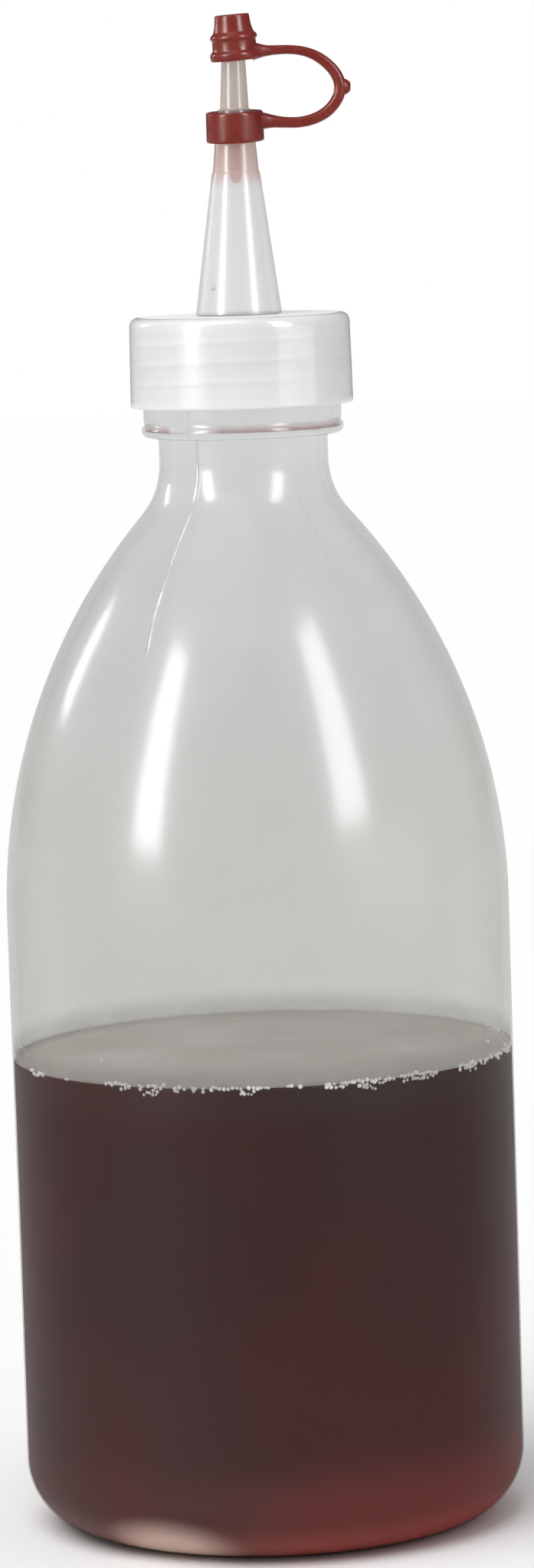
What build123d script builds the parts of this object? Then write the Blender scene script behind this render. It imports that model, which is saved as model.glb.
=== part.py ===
from build123d import *

import os
from math import acos, cos, radians, sin, sqrt, tan

# Half-litre squeeze dropper bottle: blow-moulded body, screw cap, dropper spout and captive tip cap.
# Millimetres, +Z up, origin on the floor at the centre of the round base. -Y is the front, and the
# strap of the tip cap reaches towards +X.

# ---- driving dimensions: body -------------------------------------------------------------------------
BODY_RADIUS = 38.0
WALL = 1.2
BASE_WALL = 1.8
BASE_FILLET = 10.2
FOOT_RING_WIDTH = 3.8
PUSH_UP = 3.2  # rise of the dished base

SHOULDER_START = 93.8  # height where the straight wall turns into the shoulder
SHOULDER_RADIUS = 90.8
NECK_RADIUS = 12.7
NECK_FLARE = 11.6  # radius of the hollow curve between shoulder and neck

BEAD_BOTTOM = 165.1
BEAD_TOP = 167.5
BEAD_RADIUS = 15.15
COLLAR_RADIUS = 14.85
COLLAR_TOP = 170.3
BEAD_LEDGE = 0.9  # thickness of the bead's underside
BEAD_GROOVE = 13.6  # inside radius of the hollow behind the bead
NECK_TOP = 180.6
NECK_BORE = 11.6

SEAM_AZIMUTH = -122.7  # parting plane of the mould, from +X
SEAM_PROUD = 0.12
SEAM_WIDTH = 0.3
PINCH_LENGTH = 24.0  # weld line of the mould across the base

# ---- driving dimensions: thread -----------------------------------------------------------------------
PITCH = 3.0
THREAD_RISE = 6.4
THREAD_ROOT = 13.6
THREAD_CREST = 14.75
THREAD_START = 172.5
THREAD_TURNED = 222.0
THREAD_BASE_WIDTH = 1.9
THREAD_CREST_WIDTH = 0.8
THREAD_BURY = 0.4  # how far a ridge reaches into the wall that carries it

# ---- driving dimensions: screw cap --------------------------------------------------------------------
CAP_BOTTOM = 169.6
CAP_TOP = 183.1
CAP_FOOT_RADIUS = 16.7
CAP_TOP_RADIUS = 16.5
CAP_MOUTH = 15.7
CAP_INSIDE = 15.3
CAP_THREAD_CREST = 14.05
CAP_BAND = 1.5
CAP_ROOF = 1.35
CAP_HOLE = 6.1
CAP_EDGE = 1.5

# ---- driving dimensions: dropper spout ----------------------------------------------------------------
FLANGE = 1.0
FLANGE_RADIUS = 13.9
PLUG_BOTTOM = 173.6
PLUG_WALL = 1.1
SPOUT_WALL = 1.05
SPOUT_FOOT_RADIUS = 6.45
SPOUT_GROOVE_RADIUS = 6.0  # where the screw cap's roof is snapped on, free to turn
STEP_Z = 204.4
STEP_RADIUS = 3.6
SEAT_BOTTOM = 208.8  # ledge that the retaining ring stands on
SEAT_TOP = 213.5
SEAT_RADIUS = 2.6
TIP_FOOT_RADIUS = 2.32
TIP_RADIUS = 1.55
TIP_TOP = 226.0
DRIP_BORE = 1.15
ORIFICE = 0.55

# ---- driving dimensions: captive tip cap --------------------------------------------------------------
RING_RADIUS = 4.5
RING_HEIGHT = 4.5
STRAP_THICKNESS = 1.5
STRAP_WIDTH = 2.4
STRAP_LOW = 211.5  # centreline of the strap's lower run
STRAP_RISE = 10.7  # from there to the centreline of its upper run
STRAP_REACH = 15.5  # from the bottle's axis to the strap's outermost centreline
STRAP_HINGE_X = 6.2
UNFOLD_DEG = 36.0  # how far each half of the strap swings
KNUCKLE = STRAP_THICKNESS / 2
KNUCKLE_GAP = 0.06
TIP_CAP_BOTTOM = 220.9
TIP_CAP_TOP = 227.8

# ---- driving dimensions: contents and fits ------------------------------------------------------------
LIQUID_LEVEL = 71.9
CONTENTS_GAP = 0.1  # between the contents and the wall that holds them
FIT_GAP = 0.05  # radial clearance of a part that turns or slides on another

FOOT_INSIDE = BODY_RADIUS - BASE_FILLET - FOOT_RING_WIDTH
FLANGE_LOW = NECK_TOP + FIT_GAP
FLANGE_TOP = FLANGE_LOW + FLANGE
STRAP_MIDDLE = STRAP_LOW + STRAP_RISE / 2


# ---- helpers ------------------------------------------------------------------------------------------
def at(radius, height):
    return (radius, 0, height)


def on_circle(centre_r, centre_z, size, angle):
    return at(centre_r + size * cos(angle), centre_z + size * sin(angle))


def outline(points):
    """The closed outline through (radius, height) points in the XZ plane."""
    return Polyline(*[at(r, z) for r, z in points], close=True)


def turned(lines, sweep_deg=360):
    """The solid of revolution about Z of a closed outline in the XZ plane."""
    return revolve(make_face(lines), Axis.Z, sweep_deg)


def helical_ridge(root, crest, start_z, turned_by):
    """A right-handed helical ridge of trapezoid section, from the root radius to the crest radius."""
    path = Helix(PITCH, THREAD_RISE, root, center=(0, 0, start_z))
    plane = Plane(origin=path @ 0, x_dir=(1, 0, 0), z_dir=path % 0)
    depth = crest - root
    outward = 1 if depth > 0 else -1
    half_base, half_crest = THREAD_BASE_WIDTH / 2, THREAD_CREST_WIDTH / 2
    half_buried = half_base + (half_base - half_crest) / abs(depth) * THREAD_BURY
    buried = -outward * THREAD_BURY
    corners = [(buried, -half_buried), (depth, -half_crest), (depth, half_crest), (buried, half_buried)]
    section = plane * make_face(Polyline(*corners, close=True))
    return Rot(0, 0, turned_by) * sweep(section, path=path, is_frenet=True)


# ---- bottle body --------------------------------------------------------------------------------------
FLARE_CENTRE_R = NECK_RADIUS + NECK_FLARE
SHOULDER_CENTRE_R = BODY_RADIUS - SHOULDER_RADIUS
SHOULDER_TURN = acos((FLARE_CENTRE_R - SHOULDER_CENTRE_R) / (SHOULDER_RADIUS + NECK_FLARE))
FLARE_Z = SHOULDER_START + (SHOULDER_RADIUS + NECK_FLARE) * sin(SHOULDER_TURN)


def floor_height(inset):
    """Height of the foot ring's skin: the outer skin stands on the floor, the others on the base's wall."""
    return BASE_WALL + inset - WALL if inset > 0 else 0


def dished_base(inset):
    """The base's skin, from the axis to the outer edge of the foot ring."""
    floor = floor_height(inset)
    dish = ThreePointArc(
        at(0, floor + PUSH_UP), at(FOOT_INSIDE / 2, floor + PUSH_UP * 0.75), at(FOOT_INSIDE, floor)
    )
    return [dish, Line(at(FOOT_INSIDE, floor), at(BODY_RADIUS - BASE_FILLET, floor))]


def side_wall(inset, wall_top=SHOULDER_START):
    """The skin's corner and straight wall, an inset inside the outer one."""
    floor = floor_height(inset)
    fillet = BASE_FILLET - inset
    edge = BODY_RADIUS - BASE_FILLET
    corner = ThreePointArc(
        at(edge, floor),
        on_circle(edge, floor + fillet, fillet, radians(-45)),
        at(edge + fillet, floor + fillet),
    )
    return [corner, Line(at(edge + fillet, floor + fillet), at(edge + fillet, wall_top))]


def shoulder(inset):
    """The skin's shoulder arc and the hollow curve that carries it into the neck."""
    arc, flare = SHOULDER_RADIUS - inset, NECK_FLARE + inset
    meeting = on_circle(SHOULDER_CENTRE_R, SHOULDER_START, arc, SHOULDER_TURN)
    dome = ThreePointArc(
        at(BODY_RADIUS - inset, SHOULDER_START),
        on_circle(SHOULDER_CENTRE_R, SHOULDER_START, arc, SHOULDER_TURN / 2),
        meeting,
    )
    hollow = ThreePointArc(
        meeting,
        on_circle(FLARE_CENTRE_R, FLARE_Z, flare, radians(180) + SHOULDER_TURN / 2),
        at(NECK_RADIUS - inset, FLARE_Z),
    )
    return [dome, hollow]


def neck_outside():
    """The neck's skin above the shoulder: bead, collar, thread root and lip."""
    lip = 0.5
    bead_foot = at(BEAD_RADIUS - 0.6, BEAD_BOTTOM)
    collar_foot = at(COLLAR_RADIUS, BEAD_TOP)
    neck = Polyline(
        at(NECK_RADIUS, FLARE_Z),
        at(NECK_RADIUS, BEAD_BOTTOM - 0.4),
        at(NECK_RADIUS + 0.4, BEAD_BOTTOM),
        bead_foot,
    )
    bead = ThreePointArc(bead_foot, at(BEAD_RADIUS, (BEAD_BOTTOM + BEAD_TOP) / 2 - 0.2), collar_foot)
    finish = Polyline(
        collar_foot,
        at(COLLAR_RADIUS, COLLAR_TOP - 0.4),
        at(COLLAR_RADIUS - 0.4, COLLAR_TOP),
        at(THREAD_ROOT, COLLAR_TOP),
        at(THREAD_ROOT, NECK_TOP - lip),
        at(THREAD_ROOT - lip, NECK_TOP),
        at(NECK_BORE + lip, NECK_TOP),
        at(NECK_BORE, NECK_TOP - lip),
    )
    return [neck, bead, finish]


def neck_inside():
    """The neck's inner skin: the bore, the groove behind the bead and its ledge."""
    ledge = BEAD_BOTTOM + BEAD_LEDGE
    return Polyline(
        at(NECK_BORE, NECK_TOP - 0.5),
        at(NECK_BORE, COLLAR_TOP + 0.6),
        at(BEAD_GROOVE, COLLAR_TOP - 1.4),
        at(BEAD_GROOVE, ledge),
        at(NECK_RADIUS - WALL, ledge - 0.2),
        at(NECK_RADIUS - WALL, FLARE_Z),
    )


def seam_rib():
    """The fine raised line that the mould's parting plane leaves up one side of the shoulder and neck."""
    buried = WALL / 2
    outer, core = shoulder(-SEAM_PROUD), shoulder(buried)
    neck_top = BEAD_BOTTOM + 0.3
    top = Polyline(
        at(NECK_RADIUS + SEAM_PROUD, FLARE_Z),
        at(NECK_RADIUS + SEAM_PROUD, neck_top),
        at(NECK_RADIUS - buried, neck_top),
        at(NECK_RADIUS - buried, FLARE_Z),
    )
    bottom = Line(outer[0] @ 0, core[0] @ 0)
    return extrude(make_face([*outer, top, *core, bottom]), SEAM_WIDTH / 2, both=True)


def bottle_body():
    """Blow-moulded body with a dished base, a narrow neck, a hollow bead and an outside thread."""
    axis_line = Line(at(0, PUSH_UP), at(0, PUSH_UP + BASE_WALL))
    outer = [*dished_base(0), *side_wall(0), *shoulder(0), *neck_outside()]
    inner = [*dished_base(WALL), *side_wall(WALL), *shoulder(WALL), neck_inside()]
    body = turned([*outer, *inner, axis_line])
    body += helical_ridge(THREAD_ROOT, THREAD_CREST, THREAD_START, THREAD_TURNED)
    rib = seam_rib()
    for turn in (0, 180):
        body += Rot(0, 0, SEAM_AZIMUTH + turn) * rib
    pinch = Pos(0, 0, PUSH_UP - 0.4) * Box(PINCH_LENGTH, 0.9, 1.2)
    return body + Rot(0, 0, SEAM_AZIMUTH) * pinch


# ---- contents -----------------------------------------------------------------------------------------
def liquid_fill():
    """The liquid that the bottle is nearly half full of, up to a flat surface."""
    inset = WALL + CONTENTS_GAP
    base = dished_base(inset)
    top = Polyline(at(BODY_RADIUS - inset, LIQUID_LEVEL), at(0, LIQUID_LEVEL), base[0] @ 0)
    return turned([*base, *side_wall(inset, LIQUID_LEVEL), top])


def bead_residue(start_deg, sweep_deg):
    """Liquid left standing on the ledge behind the neck bead, as an arc from an azimuth."""
    low = BEAD_BOTTOM + BEAD_LEDGE + CONTENTS_GAP
    wall = BEAD_GROOVE - CONTENTS_GAP
    section = outline([(wall - 1.1, low), (wall, low), (wall, low + 1.5), (wall - 0.6, low + 0.5)])
    return Rot(0, 0, start_deg) * turned(section, sweep_deg)


def spout_residue():
    """A little liquid held in the spout's narrow bore by its own surface tension."""
    radius = DRIP_BORE - CONTENTS_GAP
    low, top = STEP_Z + 0.8, SEAT_TOP - 0.5
    return turned(outline([(0, low), (radius, low + 0.6), (radius, top), (0, top - 0.4)]))


# ---- dropper spout ------------------------------------------------------------------------------------
def spout_insert():
    """Dropper spout: a plug that seals in the neck, a flange that the screw cap clamps, and the cone."""
    plug = NECK_BORE - FIT_GAP
    cone_inside = SPOUT_FOOT_RADIUS - SPOUT_WALL - 0.2
    outside = [
        (plug - 0.5, PLUG_BOTTOM),
        (plug, PLUG_BOTTOM + 1.0),
        (plug, FLANGE_LOW),
        (FLANGE_RADIUS, FLANGE_LOW),
        (FLANGE_RADIUS, FLANGE_TOP),
        (SPOUT_GROOVE_RADIUS, FLANGE_TOP),
        (SPOUT_GROOVE_RADIUS, CAP_TOP + FIT_GAP),
        (SPOUT_FOOT_RADIUS, CAP_TOP + 2 * FIT_GAP),
        (STEP_RADIUS, STEP_Z - 0.3),
        (STEP_RADIUS - 0.15, STEP_Z + 0.3),
        (SEAT_RADIUS + 0.55, SEAT_BOTTOM),
        (SEAT_RADIUS, SEAT_BOTTOM),
        (SEAT_RADIUS, SEAT_TOP),
        (TIP_FOOT_RADIUS, SEAT_TOP + 0.3),
        (TIP_RADIUS, TIP_TOP - 0.2),
        (TIP_RADIUS - 0.2, TIP_TOP),
    ]
    inside = [
        (ORIFICE, TIP_TOP),
        (DRIP_BORE, SEAT_TOP),
        (DRIP_BORE, STEP_Z + 0.6),
        (STEP_RADIUS - SPOUT_WALL, STEP_Z - 0.8),
        (cone_inside, FLANGE_TOP),
        (cone_inside + 0.6, FLANGE_LOW),
        (plug - PLUG_WALL, FLANGE_LOW),
        (plug - PLUG_WALL, PLUG_BOTTOM),
    ]
    gate_z = 187.3
    slope = (SPOUT_FOOT_RADIUS - STEP_RADIUS) / (STEP_Z - 0.3 - CAP_TOP)
    gate_radius = SPOUT_FOOT_RADIUS - slope * (gate_z - CAP_TOP)
    gate = Rot(0, 0, -130) * Pos(gate_radius - 0.15, 0, gate_z) * Sphere(0.45)
    return turned(outline(outside + inside)) + gate


# ---- screw cap ----------------------------------------------------------------------------------------
def screw_cap():
    """Screw cap with a hole for the spout, an inside thread and a plain band at its mouth."""
    roof = CAP_TOP - CAP_ROOF
    band = CAP_BOTTOM + CAP_BAND
    rim_start = at(CAP_TOP_RADIUS, CAP_TOP - CAP_EDGE)
    rim_end = at(CAP_TOP_RADIUS - CAP_EDGE, CAP_TOP)
    wall = Polyline(
        rim_end,
        at(CAP_HOLE, CAP_TOP),
        at(CAP_HOLE, roof),
        at(CAP_INSIDE, roof),
        at(CAP_INSIDE, band + 0.4),
        at(CAP_MOUTH, band),
        at(CAP_MOUTH, CAP_BOTTOM),
        at(CAP_FOOT_RADIUS - 0.3, CAP_BOTTOM),
        at(CAP_FOOT_RADIUS, CAP_BOTTOM + 0.3),
        rim_start,
    )
    rim_mid = on_circle(CAP_TOP_RADIUS - CAP_EDGE, CAP_TOP - CAP_EDGE, CAP_EDGE, radians(45))
    shell = turned([wall, ThreePointArc(rim_start, rim_mid, rim_end)])
    # the cap's ridge runs midway between the turns of the neck's
    ridge = helical_ridge(CAP_INSIDE, CAP_THREAD_CREST, THREAD_START, THREAD_TURNED + 180)
    return shell + ridge


# ---- captive tip cap: ring, strap and cap -------------------------------------------------------------
def knuckle(x, z, gap=0.0):
    """The round end of a strap half, on its hinge line along Y, or with a gap the room it needs."""
    return Pos(x, 0, z) * Rot(90, 0, 0) * Cylinder(KNUCKLE + gap, STRAP_WIDTH + 20 * gap)


def strap_bar():
    """The lower half of the folded strap: a straight run, then a quarter turn up to the outermost point."""
    bend = STRAP_RISE / 2
    corner_x = STRAP_REACH - bend
    turn = ThreePointArc(
        at(corner_x, STRAP_LOW),
        on_circle(corner_x, STRAP_MIDDLE, bend, radians(-45)),
        at(STRAP_REACH, STRAP_MIDDLE),
    )
    path = Wire([Line(at(STRAP_HINGE_X, STRAP_LOW), at(corner_x, STRAP_LOW)), turn])
    plane = Plane(origin=path @ 0, x_dir=(0, 0, 1), z_dir=(1, 0, 0))
    section = plane * RectangleRounded(STRAP_THICKNESS, STRAP_WIDTH, STRAP_THICKNESS * 0.3)
    return sweep(section, path=path)


def swing_room():
    """The wedge left free above the lower half's outer end, so that the halves can swing together."""
    far = 2 * STRAP_THICKNESS
    drop = far * tan(radians(UNFOLD_DEG + 1))
    wedge = Polyline(
        at(STRAP_REACH, STRAP_MIDDLE),
        at(STRAP_REACH + far, STRAP_MIDDLE - drop),
        at(STRAP_REACH + far, STRAP_MIDDLE + 0.5),
        at(STRAP_REACH, STRAP_MIDDLE + 0.5),
        close=True,
    )
    return extrude(make_face(wedge), STRAP_WIDTH, both=True)


def strap_lower():
    """Lower half of the strap, with the mould's gate mark near its outermost point."""
    gate = Pos(STRAP_REACH + 0.65, 0, STRAP_MIDDLE - 1.35) * Sphere(0.7)
    half = (strap_bar() - swing_room()) + gate
    return half + knuckle(STRAP_HINGE_X, STRAP_LOW) + knuckle(STRAP_REACH, STRAP_MIDDLE)


def strap_upper():
    """Upper half of the strap, the lower one's mirror image, cupped round its knuckle."""
    half = strap_bar() - swing_room() + knuckle(STRAP_HINGE_X, STRAP_LOW)
    mirrored = half.mirror(Plane.XY.offset(STRAP_MIDDLE))
    return mirrored - knuckle(STRAP_REACH, STRAP_MIDDLE, KNUCKLE_GAP)


def strap_root(inside, height):
    """The strap's short root on the ring or the tip cap, cupped round the strap's knuckle."""
    end = STRAP_HINGE_X - KNUCKLE * sin(radians(UNFOLD_DEG)) - 0.05
    block = Pos((inside + end) / 2, 0, height) * Box(end - inside, STRAP_WIDTH, STRAP_THICKNESS)
    return block - knuckle(STRAP_HINGE_X, height, KNUCKLE_GAP)


def retaining_ring():
    """Ring that stands on the spout's ledge, turns round the spout and holds the strap."""
    low = SEAT_BOTTOM + FIT_GAP
    top = low + RING_HEIGHT
    bore = SEAT_RADIUS + FIT_GAP
    edge = 0.25
    section = [
        (bore, low),
        (RING_RADIUS - edge, low),
        (RING_RADIUS, low + edge),
        (RING_RADIUS, top - edge),
        (RING_RADIUS - edge, top),
        (bore, top),
    ]
    return turned(outline(section)) + strap_root(bore + 0.8, STRAP_LOW)


def tip_cap():
    """Cap with a blind socket for the spout's tip, a foot flange, a grip ridge and a tapered handle."""
    low = TIP_CAP_BOTTOM
    taper = (TIP_FOOT_RADIUS - TIP_RADIUS) / (TIP_TOP - 0.2 - SEAT_TOP - 0.3)
    mouth = TIP_RADIUS + taper * (TIP_TOP - 0.2 - low) + FIT_GAP
    section = [
        (mouth, low),
        (3.55, low),
        (3.75, low + 0.25),
        (3.75, low + 0.95),
        (3.4, low + 1.25),
        (3.3, low + 3.2),
        (3.55, low + 3.4),
        (3.55, low + 3.75),
        (3.15, low + 4.1),
        (2.6, TIP_CAP_TOP - 0.15),
        (2.45, TIP_CAP_TOP),
        (0, TIP_CAP_TOP),
        (0, TIP_TOP + 0.25),
        (TIP_RADIUS - 0.1, TIP_TOP + 0.25),
        (TIP_RADIUS + FIT_GAP, TIP_TOP - 0.1),
    ]
    return turned(outline(section)) + strap_root(mouth + 0.6, STRAP_LOW + STRAP_RISE)


# ---- one file for each node ---------------------------------------------------------------------------
NODES = {
    "bottle_body": bottle_body(),
    "liquid_fill": liquid_fill(),
    "bead_residue_right": bead_residue(-106, 106),
    "bead_residue_left": bead_residue(-180, 32),
    "spout_insert": spout_insert(),
    "spout_residue": spout_residue(),
    "screw_cap": screw_cap(),
    "retaining_ring": retaining_ring(),
    "strap_lower": strap_lower(),
    "strap_upper": strap_upper(),
    "tip_cap": tip_cap(),
}

os.makedirs("parts", exist_ok=True)
for name, shape in NODES.items():
    export_step(shape, f"parts/{name}.step")
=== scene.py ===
import math
import random

import bmesh
import bpy
from mathutils import Euler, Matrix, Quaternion, Vector


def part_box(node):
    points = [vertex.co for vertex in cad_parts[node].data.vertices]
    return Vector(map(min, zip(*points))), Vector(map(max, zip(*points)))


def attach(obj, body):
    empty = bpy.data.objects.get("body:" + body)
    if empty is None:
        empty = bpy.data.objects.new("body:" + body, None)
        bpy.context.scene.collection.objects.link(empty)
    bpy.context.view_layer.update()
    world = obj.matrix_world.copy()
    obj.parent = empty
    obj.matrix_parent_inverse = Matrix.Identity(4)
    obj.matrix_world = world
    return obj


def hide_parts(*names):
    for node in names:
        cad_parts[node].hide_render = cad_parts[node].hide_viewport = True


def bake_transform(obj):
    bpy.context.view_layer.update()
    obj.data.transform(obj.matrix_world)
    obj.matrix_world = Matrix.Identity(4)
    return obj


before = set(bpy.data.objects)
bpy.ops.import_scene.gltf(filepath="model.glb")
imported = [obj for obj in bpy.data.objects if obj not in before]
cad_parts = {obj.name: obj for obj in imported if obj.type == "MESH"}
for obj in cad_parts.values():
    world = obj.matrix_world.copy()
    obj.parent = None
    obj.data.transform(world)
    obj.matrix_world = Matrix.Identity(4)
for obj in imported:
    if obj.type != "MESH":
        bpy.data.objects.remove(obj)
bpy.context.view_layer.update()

MM = 0.001
TURN = 2 * math.pi

# ---- sizes, in millimetres in the CAD frame ----
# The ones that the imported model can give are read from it. The rest repeat the CAD's driving dimensions.


def low(node, axis="z"):
    return getattr(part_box(node)[0], axis) / MM


def high(node, axis="z"):
    return getattr(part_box(node)[1], axis) / MM


BODY_RADIUS = high("bottle_body", "x")
NECK_TOP = high("bottle_body")
WALL = 1.2
BASE_WALL = 1.8
BASE_FILLET = 10.2
FOOT_INSIDE = 24.0
PUSH_UP = 3.2
SHOULDER_START = 93.8
SHOULDER_RADIUS = 90.8
NECK_RADIUS = 12.7
NECK_FLARE = 11.6
BEAD_BOTTOM = 165.1
BEAD_TOP = 167.5
BEAD_RADIUS = 15.15
COLLAR_RADIUS = 14.85
COLLAR_TOP = 170.3
BEAD_GROOVE = 13.6
NECK_BORE = 11.6
SEAM_AZIMUTH = math.radians(-122.7)
SEAM_START = 133
SEAM_FADE = 10
SEAM_RISE = 0.18
SEAM_HALF_WIDTH = 0.32

PITCH = 3.0
THREAD_START = 172.5
THREAD_RISE = 6.4
THREAD_ROOT = 13.6
THREAD_CREST = 14.75
THREAD_TURNED = math.radians(222)

CAP_BOTTOM = low("screw_cap")
CAP_TOP = high("screw_cap")
CAP_FOOT_RADIUS = high("screw_cap", "x")
CAP_TOP_RADIUS = CAP_FOOT_RADIUS - 0.2
CAP_INSIDE = 15.3
CAP_MOUTH = 15.7
CAP_THREAD_CREST = 14.05
CAP_ROOF = 1.35
CAP_HOLE = 6.1
CAP_EDGE = 1.5

PLUG_BOTTOM = low("spout_insert")
TIP_TOP = high("spout_insert")
FLANGE_RADIUS = high("spout_insert", "x")
FLANGE_LOW = NECK_TOP + 0.05
FLANGE_TOP = FLANGE_LOW + 1.0
SPOUT_FOOT_RADIUS = 6.45
STEP_Z = 204.4
STEP_RADIUS = 3.6
SEAT_BOTTOM = 208.8
SEAT_TOP = 213.5
SEAT_RADIUS = 2.6
TIP_FOOT_RADIUS = 2.12
TIP_RADIUS = 1.55
DRIP_BORE = 1.15
GATE_Z = 187.3
GATE_AZIMUTH = math.radians(-130)
LEAN = 0.0095  # sideways for each unit of height above the cap

RING_LOW = low("retaining_ring")
RING_HIGH = high("retaining_ring")
RING_RADIUS = high("retaining_ring", "y")
STRAP_LOW = 211.5
STRAP_RISE = 10.7
STRAP_REACH = 15.5
TIP_CAP_BOTTOM = low("tip_cap")
TIP_CAP_TOP = high("tip_cap")
TIP_CAP_OFFSET = 0.2

LIQUID_LEVEL = high("liquid_fill")
LIQUID_INSET = 0.22
FILM_LOW = LIQUID_LEVEL - 0.4
FILM_HIGH = LIQUID_LEVEL + 4.2
# The painted glow: where it sits low on the liquid's front left, standing in for light through the base, and
# how far it reaches.
PAINTED_GLOW_CENTRE = (-0.0165, -0.031, 0.0012)
PAINTED_GLOW_REACH = 0.0135


# ---- mesh helpers ----
def make_object(name, points, faces, material):
    """A smooth-shaded mesh object from points in millimetres, with its normals facing out."""
    mesh = bpy.data.meshes.new(name)
    mesh.from_pydata([(x * MM, y * MM, z * MM) for x, y, z in points], [], faces)
    mesh.validate()
    work = bmesh.new()
    work.from_mesh(mesh)
    bmesh.ops.recalc_face_normals(work, faces=work.faces)
    work.to_mesh(mesh)
    work.free()
    mesh.polygons.foreach_set("use_smooth", [True] * len(mesh.polygons))
    mesh.materials.append(material)
    obj = bpy.data.objects.new(name, mesh)
    bpy.context.scene.collection.objects.link(obj)
    return obj


def lean(obj):
    """The spout and what it carries lean a little to the right of the bottle's axis."""
    for v in obj.data.vertices:
        v.co.x += LEAN * max(0, v.co.z - CAP_TOP * MM)


def tilt(obj, height, forward, rightward):
    """Tips a piece about a point on the axis, its front down and its right side down, in degrees."""
    turn = Euler((math.radians(forward), math.radians(rightward), 0)).to_matrix()
    pivot = Vector((0, 0, height)) * MM
    for v in obj.data.vertices:
        v.co = turn @ (v.co - pivot) + pivot


def polar(radius, angle, *z):
    """A point round the axis, with its height if one is given."""
    return (radius * math.cos(angle), radius * math.sin(angle), *z)


def arc(centre_r, centre_z, radius, start_deg, end_deg, steps):
    """Points along an arc of a profile, its first point left out."""
    angles = [math.radians(start_deg + (end_deg - start_deg) * i / steps) for i in range(1, steps + 1)]
    return [(centre_r + radius * math.cos(a), centre_z + radius * math.sin(a)) for a in angles]


def run(start, end, steps):
    """Points along a straight run of a profile, its first point left out."""
    (r0, z0), (r1, z1) = start, end
    return [(r0 + (r1 - r0) * i / steps, z0 + (z1 - z0) * i / steps) for i in range(1, steps + 1)]


def rounded(corners, radius, steps=4):
    """A closed profile through corners, each rounded off by up to the radius (or its own third value)."""
    points = []
    count = len(corners)
    for i, corner in enumerate(corners):
        here = Vector(corner[:2])
        size = corner[2] if len(corner) > 2 else radius
        before = Vector(corners[i - 1][:2]) - here
        after = Vector(corners[(i + 1) % count][:2]) - here
        if size <= 0 or before.length < 1e-6 or after.length < 1e-6:
            points.append(tuple(here))
            continue
        reach = min(size, before.length * 0.45, after.length * 0.45)
        a = here + before.normalized() * reach
        b = here + after.normalized() * reach
        for k in range(steps + 1):
            t = k / steps
            points.append(tuple(a * (1 - t) ** 2 + here * 2 * t * (1 - t) + b * t * t))
    return points


def divided(profile, longest):
    """The closed profile with its long edges divided."""
    points = []
    for i, here in enumerate(profile):
        there = profile[(i + 1) % len(profile)]
        length = math.dist(here, there)
        pieces = max(1, math.ceil(length / longest))
        points += [
            (here[0] + (there[0] - here[0]) * k / pieces, here[1] + (there[1] - here[1]) * k / pieces)
            for k in range(pieces)
        ]
    return points


def lathe(name, profile, material, angles=160, closed=True, shift=None):
    """Turns a profile about Z. A closed profile gives a ring; an open one starts and ends on the axis."""
    if isinstance(angles, int):
        angles = [TURN * s / angles for s in range(angles)]
    points, rows = [], []
    for r, z in profile:
        if r < 1e-6:
            rows.append([len(points)] * len(angles))
            points.append((0, 0, z))
            continue
        row = []
        for a in angles:
            rr, zz = shift(r, z, a) if shift else (r, z)
            row.append(len(points))
            points.append(polar(rr, a, zz))
        rows.append(row)
    faces = []
    for lower, upper in zip(rows, rows[1:] + rows[:1] if closed else rows[1:]):
        for s in range(len(angles)):
            t = (s + 1) % len(angles)
            ring = [lower[s], lower[t], upper[t], upper[s]]
            face = [v for i, v in enumerate(ring) if v not in ring[:i]]
            if len(face) > 2:
                faces.append(face)
    return make_object(name, points, faces, material)


def tube(name, centres, sections, material):
    """A closed skin over sections of equally many points, with a centre each. Its end rims are sharp."""
    points, faces = [], []
    size = len(sections[0])
    for section in sections:
        points += section
    for k in range(len(sections) - 1):
        for i in range(size):
            j = (i + 1) % size
            faces.append([k * size + i, k * size + j, (k + 1) * size + j, (k + 1) * size + i])
    last = (len(sections) - 1) * size
    for start, centre in ((0, centres[0]), (last, centres[-1])):
        hub = len(points)
        points.append(centre)
        faces += [[hub, start + i, start + (i + 1) % size] for i in range(size)]
    obj = make_object(name, points, faces, material)
    for edge in obj.data.edges:
        a, b = sorted(edge.vertices)
        if b < size or last <= a and b < last + size:
            edge.use_edge_sharp = True
    return obj


def helix_ridge(name, root, crest, start_z, turned, material, rise=THREAD_RISE):
    """A thread's ridge, which fades in and out over its first and last eighth of a turn."""
    steps_per_turn = 96
    turns = rise / PITCH
    steps = int(turns * steps_per_turn)
    depth = crest - root
    centres, sections = [], []
    for k in range(steps + 1):
        a = TURN * k / steps_per_turn
        z = start_z + PITCH * k / steps_per_turn
        fade = min(1, k / 14, (steps - k) / 14)
        height = depth * max(fade, 0.02)
        sunk = -0.3 if depth > 0 else 0.3
        shape = [(sunk, -1.05), (height * 0.15, -0.85), (height * 0.85, -0.5), (height, -0.25)]
        shape += [(h, -w) for h, w in reversed(shape)]
        sections.append([polar(root + h, a + turned, z + w) for h, w in shape])
        centres.append(polar(root, a + turned, z))
    return tube(name, centres, sections, material)


def join(name, *objects):
    """One object out of several."""
    for o in bpy.context.selected_objects:
        o.select_set(False)
    for o in objects:
        o.select_set(True)
    bpy.context.view_layer.objects.active = objects[0]
    bpy.ops.object.join()
    objects[0].name = name
    objects[0].data.name = name
    return objects[0]


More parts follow.
